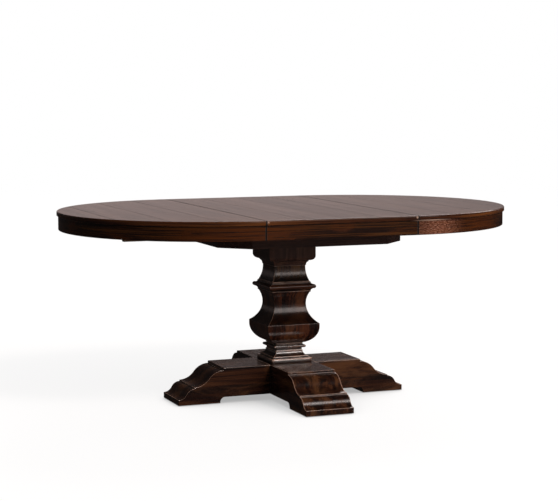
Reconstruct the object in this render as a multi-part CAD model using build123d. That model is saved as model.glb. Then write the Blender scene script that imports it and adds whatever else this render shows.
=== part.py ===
"""Extending pedestal table: two half-round tops, a drop-in leaf and a square urn pedestal on a cross base.

Millimetres. +Z is up, +X runs along the slides, and the origin is on the floor under the pedestal.
The table stands extended, with its leaf between the two halves.
"""
import os
from math import acos, ceil, cos, pi, sin, sqrt, tan

from build123d import *

# Table top
TOP_RADIUS = 609.6
LEAF_WIDTH = 609.6
TOP_THICKNESS = 18.0
TOP_EDGE_RADIUS = 4.0
TOP_EDGE_FLATS = 4
TOP_UNDER_CHAMFER = 2.0
HALF_PLANKS = 4
RIM_PLANK_WIDTH = 114.6
LEAF_PLANKS = 4
PLANK_GROOVE = 0.8
SEAM_GAP = 0.3
SEAM_EASE = 1.8

# Aprons under the top
APRON_HEIGHT = 55.0
APRON_THICKNESS = 22.0
APRON_SETBACK = 6.0
APRON_EDGE_RADIUS = 2.0
APRON_SEGMENTS = 4
GLUE_BLOCK_LEG = 24.0
GLUE_BLOCK_LENGTH = 60.0

# Cross base
BEAM_LENGTH = 960.0
BEAM_WIDTH = 196.0
BASE_HEIGHT = 142.0
BEAM_ARCH_HEIGHT = 26.0
PAD_LENGTH = 172.0
ARCH_RUN = 20.0
FOOT_FLAT_HALF = 293.0
FOOT_UPPER_FILLET = 10.0
FOOT_LEDGE_INSET = 66.0
FOOT_LEDGE_HEIGHT = 71.0
FOOT_LEDGE_FILLET = 5.0
FOOT_TIP_HEIGHT = 25.0
BEAM_EDGE_EASE = 1.5
GLIDE_RADIUS = 16.0
GLIDE_THICKNESS = 3.0
GLIDE_TIP_INSET = 50.0
GLIDE_SPREAD = 65.0

# Pedestal stack: heights of its blocks, then half-widths of its square section
PLINTH_HEIGHT = 17.0
LOWER_NECK_HEIGHT = 59.0
URN_HEIGHT = 212.0
RING_HEIGHT = 35.0
UPPER_NECK_HEIGHT = 67.0
CAP_HEIGHT = 105.0
PLINTH_HALF = 85.0
LOWER_FOOT_HALF = 75.0
LOWER_NECK_HALF = 55.0
BEAD_HALF = 67.5
BEAD_HEIGHT = 12.0
URN_HALF = 110.0
URN_BOWL_HEIGHT = 67.0
URN_BAND_HEIGHT = 14.0
URN_SHOULDER_HALF = 80.0
RING_HALF = 99.5
RING_BEAD_HEIGHT = 16.0
RING_LOWER_COVE = 10.0
UPPER_FLARE_HALF = 81.0
UPPER_NECK_HALF = 66.0
UPPER_FLARE_HEIGHT = 60.0
CAP_HALF = 98.0
CAP_OVOLO_HEIGHT = 17.0
MOULDING_FILLET = 5.0
MOULDING_STEP = 2.5
PEDESTAL_EDGE_EASE = 1.0

# Roundness of the mouldings: the rise of an arc over its chord, negative where it is hollow
COVE_BULGE = -0.14
OVOLO_BULGE = 0.18
BOWL_BULGE = 0.168
WAIST_BULGE = -0.195
FLARE_BULGE = -0.063
HALF_ROUND = 0.5
QUARTER_ROUND = (sqrt(2) - 1) / 2

# Tie rod and dowels that hold the pedestal stack together
ROD_RADIUS = 6.0
ROD_CLEARANCE = 0.5
WASHER_RADIUS = 20.0
WASHER_THICKNESS = 3.0
NUT_ACROSS_FLATS = 18.0
NUT_HEIGHT = 10.0
ROD_STICK_OUT = 4.0
ROD_RECESS_DEPTH = 22.0
RECESS_CLEARANCE = 2.0
DOWEL_RADIUS = 5.0
DOWEL_DEPTH = 20.0
DOWEL_OFFSET = 32.0
GLUE_CLEARANCE = 0.05

# Mounting plate on the pedestal
PLATE_LENGTH = 762.0
PLATE_WIDTH = 777.0
PLATE_THICKNESS = 33.0
PLATE_CORNER = 103.0
LAG_OFFSET = 65.0
LAG_RADIUS = 4.0
LAG_LENGTH = 70.0
LAG_HEAD_RADIUS = 8.0
LAG_HEAD_HEIGHT = 5.5

# Wooden slides
RAIL_HEIGHT = 74.0
RAIL_WIDTH = 26.0
RAIL_GAP = 0.6
FIXED_RAIL_Y = 215.4
FIXED_RAIL_DROP = 2.0
MOVING_RAIL_END = 739.0
MOVING_RAIL_OVERLAP = 25.0
TONGUE_HEIGHT = 12.0
TONGUE_DEPTH = 7.5
TONGUE_CLEARANCE = 0.4
EXTRA_TRAVEL = 45.0
STOP_PIN_RADIUS = 2.5
STOP_PIN_LENGTH = 52.0
STOP_PIN_INSET = 80.0
STOP_CLEARANCE = 0.5

# Equalizer: a pinion on the plate between two racks
GEAR_MODULE = 3.0
PINION_TEETH = 18
PRESSURE_ANGLE = 20.0
ROOT_DEPTH = 1.25
BACKLASH = 0.4
RACK_HEIGHT = 13.0
RACK_BODY = 12.0
RACK_OVERLAP = 65.0
RACK_CLOSED_MARGIN = 30.0
RACK_BATTEN_THICKNESS = 24.0
RACK_BATTEN_INSET = 12.0
PINION_WASHER_RADIUS = 11.0
PINION_WASHER_THICKNESS = 1.0
PINION_BOLT_RADIUS = 5.0
PINION_RUNNING_CLEARANCE = 0.05
PINION_HEAD_RADIUS = 9.0
PINION_HEAD_HEIGHT = 4.0
PINION_HEAD_GAP = 0.3
PINION_SHANK_RADIUS = 4.0
PINION_SHANK_DEPTH = 24.0

# Wood screws
SCREW_RADIUS = 2.25
SCREW_HEAD_RADIUS = 4.5
SCREW_HEAD_HEIGHT = 3.0
HALF_SCREW_LENGTH = 40.0
SCREW_BITE = 12.0
COUNTERBORE_RADIUS = 6.0
FIXED_SCREW_LENGTH = 58.0
FIXED_SCREW_PITCH = 180.0

# Leaf battens
LEAF_BATTEN_WIDTH = 40.0
LEAF_BATTEN_HEIGHT = 22.0
LEAF_BATTEN_INSET = 12.0
LEAF_BATTEN_CLEARANCE = 1.0

# Heights and places that follow from the sizes above
PLINTH_Z = BASE_HEIGHT
LOWER_NECK_Z = PLINTH_Z + PLINTH_HEIGHT
URN_Z = LOWER_NECK_Z + LOWER_NECK_HEIGHT
RING_Z = URN_Z + URN_HEIGHT
UPPER_NECK_Z = RING_Z + RING_HEIGHT
CAP_Z = UPPER_NECK_Z + UPPER_NECK_HEIGHT
PLATE_Z = CAP_Z + CAP_HEIGHT
RAIL_Z = PLATE_Z + PLATE_THICKNESS
TOP_Z = RAIL_Z + RAIL_HEIGHT
TABLE_HEIGHT = TOP_Z + TOP_THICKNESS
SEAM_X = LEAF_WIDTH / 2
HALF_PLANK_WIDTH = (TOP_RADIUS - RIM_PLANK_WIDTH) / (HALF_PLANKS - 1)
APRON_Z = TOP_Z - APRON_HEIGHT
APRON_OUTER = TOP_RADIUS - APRON_SETBACK
APRON_INNER = APRON_OUTER - APRON_THICKNESS
RAIL_PITCH = RAIL_WIDTH + RAIL_GAP
LEFT_RAIL_Y = FIXED_RAIL_Y + RAIL_PITCH
RIGHT_RAIL_Y = FIXED_RAIL_Y - RAIL_PITCH
TONGUE_Z = RAIL_Z + RAIL_HEIGHT / 2
STOP_PIN_X = PLATE_LENGTH / 2 - STOP_PIN_INSET
TONGUE_END = STOP_PIN_X - STOP_PIN_RADIUS - STOP_CLEARANCE - EXTRA_TRAVEL
PITCH_RADIUS = GEAR_MODULE * PINION_TEETH / 2
TOOTH_PITCH = pi * GEAR_MODULE
TOOTH_HALF = TOOTH_PITCH / 4 - BACKLASH / 4
TOOTH_ROOT = ROOT_DEPTH * GEAR_MODULE
RACK_BATTEN_X = MOVING_RAIL_END - RACK_BATTEN_INSET - RACK_BATTEN_THICKNESS / 2
RACK_END = RACK_BATTEN_X + RACK_BATTEN_THICKNESS / 2
LEFT, RIGHT = -1, 1

# Geometry constants
RADIAN = pi / 180
FLANK_STEPS = 5


def block(x, y, z):
    """A box from three (low, high) pairs."""
    size = [high - low for low, high in (x, y, z)]
    middle = [(low + high) / 2 for low, high in (x, y, z)]
    return Pos(*middle) * Box(*size)


def rod(x, y, low, high, radius):
    """An upright cylinder."""
    return Pos(x, y, (low + high) / 2) * Cylinder(radius, high - low)


def prism(points, low, high):
    """An upright prism over a polygon given in X and Y."""
    return Pos(0, 0, low) * extrude(make_face(Polyline(*points, close=True)), high - low)


def moulding_edges(points):
    """Edges through (half-width, height, bulge) points; the bulge is the rise of the arc over its chord."""
    edges = []
    for (x0, z0, _), (x1, z1, bulge) in zip(points, points[1:]):
        if bulge == 0:
            edges.append(Line((x0, 0, z0), (x1, 0, z1)))
        else:
            middle = ((x0 + x1) / 2 + bulge * (z1 - z0), 0, (z0 + z1) / 2 - bulge * (x1 - x0))
            edges.append(ThreePointArc((x0, 0, z0), middle, (x1, 0, z1)))
    return edges


def square_block(points, bottom):
    """A square block with mitred corners whose four sides follow the moulding points."""
    raised = [(half, bottom + height, bulge) for half, height, bulge in points]
    axis_foot = (0, raised[0][1], 0)
    axis_head = (0, raised[-1][1], 0)
    side = make_face(moulding_edges([axis_foot, *raised, axis_head, axis_foot]))
    reach = 2 * max(half for half, _, _ in points)
    slab = extrude(side, amount=reach, dir=(0, 1, 0), both=True)
    wedge = prism([(0, 0), (reach, -reach), (reach, reach)], raised[0][1], raised[-1][1])
    quarter = slab & wedge
    return quarter + [Rot(0, 0, turn) * quarter for turn in (90, 180, 270)]


def eased_square(half, height, bottom):
    """A plain square block with its top arrises eased."""
    return square_block([
        (half, 0, 0),
        (half, height - PEDESTAL_EDGE_EASE, 0),
        (half - PEDESTAL_EDGE_EASE, height, 0),
    ], bottom)


def dowel_spans():
    """Low and high ends of the dowels across each glue line of the pedestal."""
    return [
        (PLINTH_Z - DOWEL_DEPTH, LOWER_NECK_Z + DOWEL_DEPTH),
        (URN_Z - DOWEL_DEPTH, URN_Z + DOWEL_DEPTH),
        (RING_Z - DOWEL_DEPTH, UPPER_NECK_Z + DOWEL_DEPTH),
        (CAP_Z - DOWEL_DEPTH, CAP_Z + DOWEL_DEPTH),
    ]


def column_bores():
    """Everything that is drilled through the pedestal's blocks and the base for the rod and the dowels."""
    cuts = [rod(0, 0, 0, PLATE_Z, ROD_RADIUS + ROD_CLEARANCE)]
    recess = WASHER_RADIUS + RECESS_CLEARANCE
    cuts.append(rod(0, 0, BEAM_ARCH_HEIGHT, BEAM_ARCH_HEIGHT + ROD_RECESS_DEPTH, recess))
    cuts.append(rod(0, 0, PLATE_Z - ROD_RECESS_DEPTH, PLATE_Z, recess))
    for low, high in dowel_spans():
        for x in (-DOWEL_OFFSET, DOWEL_OFFSET):
            cuts.append(rod(x, 0, low, high, DOWEL_RADIUS + GLUE_CLEARANCE))
    return cuts


def cyma(start, end):
    """An S curve of two equal arcs that leaves and arrives level."""
    middle = tuple((a + b) / 2 for a, b in zip(start, end))
    return [TangentArc(start, middle, tangent=(1, 0, 0)), TangentArc(end, middle, tangent=(-1, 0, 0))]


def beam():
    """A base beam along X with moulded ends, standing on two pads, its foot at the glides."""
    tip = BEAM_LENGTH / 2
    ledge = tip - FOOT_LEDGE_INSET
    pad = tip - PAD_LENGTH
    upper_start = (FOOT_FLAT_HALF, 0, BASE_HEIGHT - FOOT_UPPER_FILLET)
    upper_end = (ledge, 0, FOOT_LEDGE_HEIGHT)
    lower_start = (ledge, 0, FOOT_LEDGE_HEIGHT - FOOT_LEDGE_FILLET)
    lower_end = (tip, 0, FOOT_TIP_HEIGHT)
    arch_start = (pad, 0, GLIDE_THICKNESS)
    arch_end = (pad - ARCH_RUN, 0, BEAM_ARCH_HEIGHT)
    edges = [
        Line((0, 0, BASE_HEIGHT), (FOOT_FLAT_HALF, 0, BASE_HEIGHT)),
        Line((FOOT_FLAT_HALF, 0, BASE_HEIGHT), upper_start),
        *cyma(upper_start, upper_end),
        Line(upper_end, lower_start),
        *cyma(lower_start, lower_end),
        Line(lower_end, (tip, 0, GLIDE_THICKNESS)),
        Line((tip, 0, GLIDE_THICKNESS), arch_start),
        TangentArc(arch_end, arch_start, tangent=(1, 0, 0)),
        Line(arch_end, (0, 0, BEAM_ARCH_HEIGHT)),
        Line((0, 0, BEAM_ARCH_HEIGHT), (0, 0, BASE_HEIGHT)),
    ]
    half = extrude(make_face(edges), amount=BEAM_WIDTH / 2, dir=(0, 1, 0), both=True)
    whole = half + mirror(half, about=Plane.YZ)
    top = whole.faces().sort_by(Axis.Z)[-1]
    return chamfer(top.edges(), BEAM_EDGE_EASE)


def base_beams():
    """The two beams of the cross, halved into each other at the middle."""
    half = BEAM_WIDTH / 2
    lap = (BEAM_ARCH_HEIGHT + BASE_HEIGHT) / 2
    crossing = ((-half, half), (-half, half))
    long_beam = beam() - block(*crossing, (lap, BASE_HEIGHT)) - column_bores()
    cross_beam = Rot(0, 0, 90) * beam() - block(*crossing, (BEAM_ARCH_HEIGHT, lap)) - column_bores()
    return {"base_beam_long": long_beam, "base_beam_cross": cross_beam}


def foot_glides():
    """Two round glides under each foot."""
    reach = BEAM_LENGTH / 2 - GLIDE_TIP_INSET
    places = [(end, side) for end in (-reach, reach) for side in (-GLIDE_SPREAD, GLIDE_SPREAD)]
    places += [(side, end) for end, side in places]
    return [rod(x, y, 0, GLIDE_THICKNESS, GLIDE_RADIUS) for x, y in places]


def lower_neck():
    """Cove, waist and bead between the plinth and the urn."""
    cove_top = LOWER_NECK_HEIGHT / 2 - MOULDING_FILLET
    bead_low = LOWER_NECK_HEIGHT - MOULDING_FILLET - MOULDING_STEP - BEAD_HEIGHT
    bead_high = bead_low + BEAD_HEIGHT
    bead_foot = BEAD_HALF - BEAD_HEIGHT / 2
    collar = LOWER_NECK_HALF + MOULDING_STEP
    return square_block([
        (LOWER_FOOT_HALF, 0, 0),
        (LOWER_FOOT_HALF, MOULDING_FILLET + MOULDING_STEP, 0),
        (collar, cove_top, COVE_BULGE),
        (collar, cove_top + MOULDING_FILLET, 0),
        (LOWER_NECK_HALF, cove_top + MOULDING_FILLET, 0),
        (LOWER_NECK_HALF, bead_low, 0),
        (bead_foot, bead_low, 0),
        (bead_foot, bead_high, HALF_ROUND),
        (LOWER_NECK_HALF, bead_high, 0),
        (LOWER_NECK_HALF, LOWER_NECK_HEIGHT - MOULDING_FILLET, 0),
        (collar, LOWER_NECK_HEIGHT - MOULDING_FILLET, 0),
        (collar, LOWER_NECK_HEIGHT, 0),
    ], LOWER_NECK_Z)


def urn():
    """Bowl, flat band and hollow waist of the urn."""
    band_top = URN_BOWL_HEIGHT + URN_BAND_HEIGHT
    shoulder = URN_HEIGHT - MOULDING_FILLET
    return square_block([
        (LOWER_NECK_HALF + MOULDING_STEP, 0, 0),
        (URN_HALF, URN_BOWL_HEIGHT, BOWL_BULGE),
        (URN_HALF, band_top, 0),
        (URN_HALF - PEDESTAL_EDGE_EASE, band_top + PEDESTAL_EDGE_EASE, 0),
        (URN_SHOULDER_HALF, shoulder, WAIST_BULGE),
        (URN_SHOULDER_HALF + MOULDING_STEP, shoulder, 0),
        (URN_SHOULDER_HALF + MOULDING_STEP, URN_HEIGHT, 0),
    ], URN_Z)


def ring():
    """Beaded ring round the pedestal, between two coves."""
    bead_high = RING_LOWER_COVE + RING_BEAD_HEIGHT
    bead_foot = RING_HALF - MOULDING_FILLET
    collar = UPPER_FLARE_HALF + MOULDING_STEP
    fillet_low = RING_HEIGHT - MOULDING_FILLET
    return square_block([
        (URN_SHOULDER_HALF + MOULDING_STEP, 0, 0),
        (bead_foot - MOULDING_STEP, RING_LOWER_COVE, COVE_BULGE),
        (bead_foot, RING_LOWER_COVE, 0),
        (bead_foot, bead_high, MOULDING_FILLET / RING_BEAD_HEIGHT),
        (bead_foot - MOULDING_STEP, bead_high, 0),
        (collar, fillet_low, COVE_BULGE),
        (collar, RING_HEIGHT, 0),
    ], RING_Z)


def upper_neck():
    """Flared neck between the ring and the cap."""
    return square_block([
        (UPPER_FLARE_HALF, 0, 0),
        (UPPER_NECK_HALF, UPPER_FLARE_HEIGHT, FLARE_BULGE),
        (UPPER_NECK_HALF, UPPER_NECK_HEIGHT, 0),
    ], UPPER_NECK_Z)


def cap_block():
    """Square cap with its bed moulding, under the mounting plate."""
    collar = UPPER_NECK_HALF + MOULDING_STEP
    cove_top = MOULDING_FILLET + 2 * MOULDING_STEP + MOULDING_FILLET
    shelf = CAP_HALF - CAP_OVOLO_HEIGHT
    fillet_half = shelf - 2 * MOULDING_STEP
    fillet_top = cove_top + MOULDING_FILLET
    return square_block([
        (collar, 0, 0),
        (collar, MOULDING_FILLET, 0),
        (fillet_half, cove_top, COVE_BULGE),
        (fillet_half, fillet_top, 0),
        (shelf, fillet_top, 0),
        (CAP_HALF, fillet_top + CAP_OVOLO_HEIGHT, OVOLO_BULGE),
        (CAP_HALF, CAP_HEIGHT, 0),
    ], CAP_Z)


def pedestal_blocks():
    """The turned-look square blocks of the pedestal, bored for the tie rod and the dowels."""
    blocks = {
        "pedestal_plinth": eased_square(PLINTH_HALF, PLINTH_HEIGHT, PLINTH_Z),
        "pedestal_lower_neck": lower_neck(),
        "pedestal_urn": urn(),
        "pedestal_ring": ring(),
        "pedestal_upper_neck": upper_neck(),
        "pedestal_cap_block": cap_block(),
    }
    lags = lag_holes()
    blocks = {name: shape - column_bores() for name, shape in blocks.items()}
    blocks["pedestal_cap_block"] = blocks["pedestal_cap_block"] - lags
    return blocks


def column_dowels():
    """Dowels across the pedestal's glue lines."""
    places = [(x, span) for span in dowel_spans() for x in (-DOWEL_OFFSET, DOWEL_OFFSET)]
    return [rod(x, 0, low, high, DOWEL_RADIUS) for x, (low, high) in places]


def tie_rod_set():
    """Threaded rod through the whole pedestal, with a washer and a nut in a recess at each end."""
    lower_seat = BEAM_ARCH_HEIGHT + ROD_RECESS_DEPTH
    upper_seat = PLATE_Z - ROD_RECESS_DEPTH
    grip = WASHER_THICKNESS + NUT_HEIGHT
    bore = ROD_RADIUS + GLUE_CLEARANCE
    nut_corner = NUT_ACROSS_FLATS / 2 / cos(30 * RADIAN)
    washers, nuts = [], []
    for seat, away in ((lower_seat, -1), (upper_seat, 1)):
        washer = sorted((seat, seat + away * WASHER_THICKNESS))
        nut = sorted((seat + away * WASHER_THICKNESS, seat + away * grip))
        washers.append(rod(0, 0, *washer, WASHER_RADIUS) - rod(0, 0, *washer, bore))
        hexagon = extrude(RegularPolygon(nut_corner, 6), nut[1] - nut[0])
        nuts.append(Pos(0, 0, nut[0]) * hexagon - rod(0, 0, *nut, bore))
    shaft = rod(0, 0, lower_seat - grip - ROD_STICK_OUT, upper_seat + grip + ROD_STICK_OUT, ROD_RADIUS)
    return {"tie_rod": shaft, "tie_rod_washers": washers, "tie_rod_nuts": nuts}


def lag_places():
    return [(x, y) for x in (-LAG_OFFSET, LAG_OFFSET) for y in (-LAG_OFFSET, LAG_OFFSET)]


def lag_seat():
    """Height of the lag screws' heads' seats, sunk below the plate's top."""
    return RAIL_Z - LAG_HEAD_HEIGHT - RECESS_CLEARANCE


def lag_holes():
    """Holes for the lag screws through the plate into the cap block, with recesses for their heads."""
    cuts = []
    for x, y in lag_places():
        cuts.append(rod(x, y, lag_seat() - LAG_LENGTH, RAIL_Z, LAG_RADIUS + GLUE_CLEARANCE))
        cuts.append(rod(x, y, lag_seat(), RAIL_Z, LAG_HEAD_RADIUS + RECESS_CLEARANCE))
    return cuts


def plate_lag_screws():
    """Hexagon-headed lag screws that hold the plate to the cap block."""
    screws = []
    for x, y in lag_places():
        head = Pos(x, y, lag_seat()) * extrude(RegularPolygon(LAG_HEAD_RADIUS, 6), LAG_HEAD_HEIGHT)
        screws.append(head + rod(x, y, lag_seat() - LAG_LENGTH, lag_seat(), LAG_RADIUS))
    return screws


def screw(x, y, seat, length):
    """A pan-head wood screw driven upwards, its head under the seat."""
    head = rod(x, y, seat - SCREW_HEAD_HEIGHT, seat, SCREW_HEAD_RADIUS)
    return head + rod(x, y, seat, seat + length, SCREW_RADIUS)


def screw_hole(x, y, seat, length):
    return rod(x, y, seat, seat + length, SCREW_RADIUS + GLUE_CLEARANCE)


def fixed_screw_places():
    count = int((PLATE_LENGTH / 2 - STOP_PIN_INSET) // FIXED_SCREW_PITCH)
    steps = [FIXED_SCREW_PITCH * i for i in range(-count, count + 1)]
    return [(x, y) for x in steps for y in (-FIXED_RAIL_Y, FIXED_RAIL_Y)]


def mounting_plate():
    """Square board with clipped corners that carries the slides on the pedestal."""
    x, y = PLATE_LENGTH / 2, PLATE_WIDTH / 2
    clip_x, clip_y = x - PLATE_CORNER, y - PLATE_CORNER
    corners = [(x, clip_y), (clip_x, y), (-clip_x, y), (-x, clip_y)]
    corners += [(-a, -b) for a, b in corners]
    board = prism(corners, PLATE_Z, RAIL_Z) - lag_holes()
    board = board - [screw_hole(*place, PLATE_Z, FIXED_SCREW_LENGTH) for place in fixed_screw_places()]
    shank = PINION_SHANK_RADIUS + GLUE_CLEARANCE
    return board - rod(0, 0, RAIL_Z - PINION_SHANK_DEPTH, RAIL_Z, shank)


def stop_pin_places():
    """Each stop pin stands in the groove that the tongue on its side runs in."""
    depth = RAIL_WIDTH / 2 - TONGUE_DEPTH / 2 - TONGUE_CLEARANCE
    places = []
    for front in (-1, 1):
        places.append((-STOP_PIN_X, front * (FIXED_RAIL_Y + depth)))
        places.append((STOP_PIN_X, front * (FIXED_RAIL_Y - depth)))
    return places


def fixed_rail(front):
    """Grooved rail screwed to the plate, between a left and a right moving rail."""
    y, half = front * FIXED_RAIL_Y, RAIL_WIDTH / 2
    length = (-PLATE_LENGTH / 2, PLATE_LENGTH / 2)
    top = TOP_Z - FIXED_RAIL_DROP
    rail = block(length, (y - half, y + half), (RAIL_Z, top))
    groove_z = TONGUE_HEIGHT / 2 + TONGUE_CLEARANCE
    groove = half - TONGUE_DEPTH - TONGUE_CLEARANCE + RAIL_GAP
    for low, high in ((y - half, y - groove), (y + groove, y + half)):
        rail = rail - block(length, (low, high), (TONGUE_Z - groove_z, TONGUE_Z + groove_z))
    pins = [rod(*place, top - STOP_PIN_LENGTH, top, STOP_PIN_RADIUS + GLUE_CLEARANCE)
            for place in stop_pin_places()]
    return rail - pins - [screw_hole(*place, PLATE_Z, FIXED_SCREW_LENGTH) for place in fixed_screw_places()]


def slide_stop_pins():
    top = TOP_Z - FIXED_RAIL_DROP
    return [rod(*place, top - STOP_PIN_LENGTH, top, STOP_PIN_RADIUS) for place in stop_pin_places()]


def half_plank_spans():
    """X spans of the boards in a half, from the seam outwards; the last runs to the rim."""
    starts = [SEAM_X + HALF_PLANK_WIDTH * i for i in range(HALF_PLANKS)]
    return list(zip(starts, starts[1:] + [SEAM_X + TOP_RADIUS]))


def rail_y(side):
    """Distance of a half's rails from the middle: the left half's run outside the fixed rails."""
    return LEFT_RAIL_Y if side == LEFT else RIGHT_RAIL_Y


def half_screw_places(side):
    """Place and head seat of each screw of a half: through its rails into its boards, and under its rack."""
    rail_seat = TOP_Z + SCREW_BITE - HALF_SCREW_LENGTH
    places = []
    for low, high in half_plank_spans():
        if low + COUNTERBORE_RADIUS < MOVING_RAIL_END:
            x = (low + min(high, MOVING_RAIL_END)) / 2
            places += [(side * x, front * rail_y(side), rail_seat) for front in (-1, 1)]
    rack_y = PITCH_RADIUS + TOOTH_ROOT + RACK_BODY / 2
    return places + [(side * RACK_BATTEN_X, side * rack_y, RAIL_Z)]


def half_screws(side):
    return [screw(*place, HALF_SCREW_LENGTH) for place in half_screw_places(side)]


def half_screw_holes(side):
    """Shank holes of a half's screws, with a counterbore from below where the head is sunk."""
    cuts = []
    for x, y, seat in half_screw_places(side):
        cuts.append(screw_hole(x, y, seat, HALF_SCREW_LENGTH))
        if seat > RAIL_Z:
            cuts.append(rod(x, y, RAIL_Z, seat, COUNTERBORE_RADIUS))
    return cuts


def moving_rail(side, front):
    """A half's slide rail, with a tongue that runs in the fixed rail's groove."""
    y, half = rail_y(side), RAIL_WIDTH / 2
    towards = 1 if rail_y(side) < FIXED_RAIL_Y else -1
    face = y + towards * half
    span = (-MOVING_RAIL_OVERLAP, MOVING_RAIL_END)
    tongue_y = sorted((face, face + towards * TONGUE_DEPTH))
    tongue_z = (TONGUE_Z - TONGUE_HEIGHT / 2, TONGUE_Z + TONGUE_HEIGHT / 2)
    rail = block(span, (y - half, y + half), (RAIL_Z, TOP_Z))
    rail = rail + block((-MOVING_RAIL_OVERLAP, TONGUE_END), tongue_y, tongue_z)
    placed = on_side(side, rail)
    placed = mirror(placed, about=Plane.XZ) if front < 0 else placed
    return placed - half_screw_holes(side)


def edge_wedge(x, width):
    """A V groove along Y, cut into the top at x."""
    mouth = [(x - width, 0, TABLE_HEIGHT), (x + width, 0, TABLE_HEIGHT), (x, 0, TABLE_HEIGHT - width)]
    return extrude(make_face(Polyline(*mouth, close=True)), TOP_RADIUS, dir=(0, 1, 0), both=True)


def corner_wedges(x):
    """Upright V notches where a seam meets the front and back edges of the table."""
    cuts = []
    for front in (-1, 1):
        for rim in (TOP_RADIUS, APRON_OUTER):
            y = front * rim
            tip = y - front * SEAM_EASE
            low, high = (TOP_Z, TABLE_HEIGHT) if rim == TOP_RADIUS else (APRON_Z, TOP_Z)
            cuts.append(prism([(x - SEAM_EASE, y), (x + SEAM_EASE, y), (x, tip)], low, high))
    return cuts


def seam_cuts():
    """Eased edges along both seams."""
    cuts = []
    for x in (-SEAM_X, SEAM_X):
        cuts.append(edge_wedge(x, SEAM_EASE))
        cuts += corner_wedges(x)
    return cuts


def top_section():
    """Section of the top from the middle out to its rim, its upper arris rounded over in narrow flats."""
    round_over = []
    for step in range(TOP_EDGE_FLATS + 1):
        turn = pi / 2 * step / TOP_EDGE_FLATS
        reach = TOP_RADIUS - TOP_EDGE_RADIUS * (1 - cos(turn))
        height = TABLE_HEIGHT - TOP_EDGE_RADIUS * (1 - sin(turn))
        round_over.append((reach, height, 0))
    return make_face(moulding_edges([
        (0, TOP_Z, 0),
        (TOP_RADIUS - TOP_UNDER_CHAMFER, TOP_Z, 0),
        (TOP_RADIUS, TOP_Z + TOP_UNDER_CHAMFER, 0),
        *round_over,
        (0, TABLE_HEIGHT, 0),
        (0, TOP_Z, 0),
    ]))


def apron_section():
    """Section of the apron, its lower outer arris rounded."""
    return make_face(moulding_edges([
        (APRON_INNER, APRON_Z, 0),
        (APRON_OUTER - APRON_EDGE_RADIUS, APRON_Z, 0),
        (APRON_OUTER, APRON_Z + APRON_EDGE_RADIUS, QUARTER_ROUND),
        (APRON_OUTER, TOP_Z, 0),
        (APRON_INNER, TOP_Z, 0),
        (APRON_INNER, APRON_Z, 0),
    ]))


def glue_block_section():
    """Triangular section of a glue block in the corner between the apron and the top."""
    back = APRON_INNER - GLUE_CLEARANCE
    corner = (back, 0, TOP_Z)
    along_top = (back - GLUE_BLOCK_LEG, 0, TOP_Z)
    down_apron = (back, 0, TOP_Z - GLUE_BLOCK_LEG)
    return make_face(Polyline(corner, along_top, down_apron, close=True))


def swept_round_seam(section, start, arc):
    """A section turned about the centre of the right half's rim, from the start angle."""
    return Pos(SEAM_X, 0, 0) * Rot(0, 0, start) * revolve(section, Axis.Z, arc)


def swept_along_leaf(section, low, high, front):
    """A section run along the front or back edge of the leaf."""
    run = Pos(0, low, 0) * extrude(section, amount=high - low, dir=(0, 1, 0))
    back_edge = Rot(0, 0, 90) * mirror(run, about=Plane.XZ)
    return back_edge if front > 0 else mirror(back_edge, about=Plane.XZ)


def on_side(side, shape):
    """A piece of the right half, or its mirror image for the left half."""
    return mirror(shape, about=Plane.YZ) if side == LEFT else shape


def half_top(side):
    """A half-round top as boards that run across the table."""
    disc = swept_round_seam(top_section(), -90, 180)
    planks = []
    for low, high in half_plank_spans():
        plank = disc & block((low, high), (-TOP_RADIUS, TOP_RADIUS), (TOP_Z, TABLE_HEIGHT))
        for x in (low, high):
            if SEAM_X < x < SEAM_X + TOP_RADIUS:
                plank = plank - edge_wedge(x, PLANK_GROOVE)
        planks.append(on_side(side, plank) - seam_cuts() - half_screw_holes(side))
    return planks


def half_aprons(side):
    """Curved apron of a half, in equal segments from front to back."""
    arc = 180 / APRON_SEGMENTS
    starts = [-90 + arc * i for i in range(APRON_SEGMENTS)]
    return [on_side(side, swept_round_seam(apron_section(), start, arc)) - seam_cuts() for start in starts]


def half_glue_blocks(side):
    """Glue blocks behind the middle of each apron segment."""
    arc = 180 / APRON_SEGMENTS
    own_arc = GLUE_BLOCK_LENGTH / APRON_INNER / RADIAN
    starts = [-90 + arc * (i + 0.5) - own_arc / 2 for i in range(APRON_SEGMENTS)]
    return [on_side(side, swept_round_seam(glue_block_section(), start, own_arc)) for start in starts]


def rack(side):
    """Toothed bar of the equalizer, fixed to a half and in mesh with the pinion."""
    slope = tan(PRESSURE_ANGLE * RADIAN)
    tip, root = PITCH_RADIUS - GEAR_MODULE, PITCH_RADIUS + TOOTH_ROOT
    tip_half = TOOTH_HALF - GEAR_MODULE * slope
    root_half = TOOTH_HALF + TOOTH_ROOT * slope
    toothed = SEAM_X + RACK_CLOSED_MARGIN
    first = ceil(-RACK_OVERLAP / TOOTH_PITCH)
    last = int(toothed // TOOTH_PITCH)
    outline = [(-RACK_OVERLAP, root + RACK_BODY), (-RACK_OVERLAP, root)]
    for i in range(first, last):
        x = (i + 0.5) * TOOTH_PITCH
        outline += [(x - root_half, root), (x - tip_half, tip), (x + tip_half, tip), (x + root_half, root)]
    outline += [(RACK_END, root), (RACK_END, root + RACK_BODY)]
    bar = prism(outline, RAIL_Z, RAIL_Z + RACK_HEIGHT)
    turned = Rot(0, 0, 180) * bar if side == LEFT else bar
    return turned - half_screw_holes(side)


def rack_batten(side):
    """Cross batten under a half, between its rails, that the rack's end is screwed to."""
    reach = rail_y(side) - RAIL_WIDTH / 2
    x = RACK_BATTEN_THICKNESS / 2
    bar = block((RACK_BATTEN_X - x, RACK_BATTEN_X + x), (-reach, reach), (RAIL_Z + RACK_HEIGHT, TOP_Z))
    return on_side(side, bar) - half_screw_holes(side)


def involute(angle):
    return tan(angle) - angle


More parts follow.
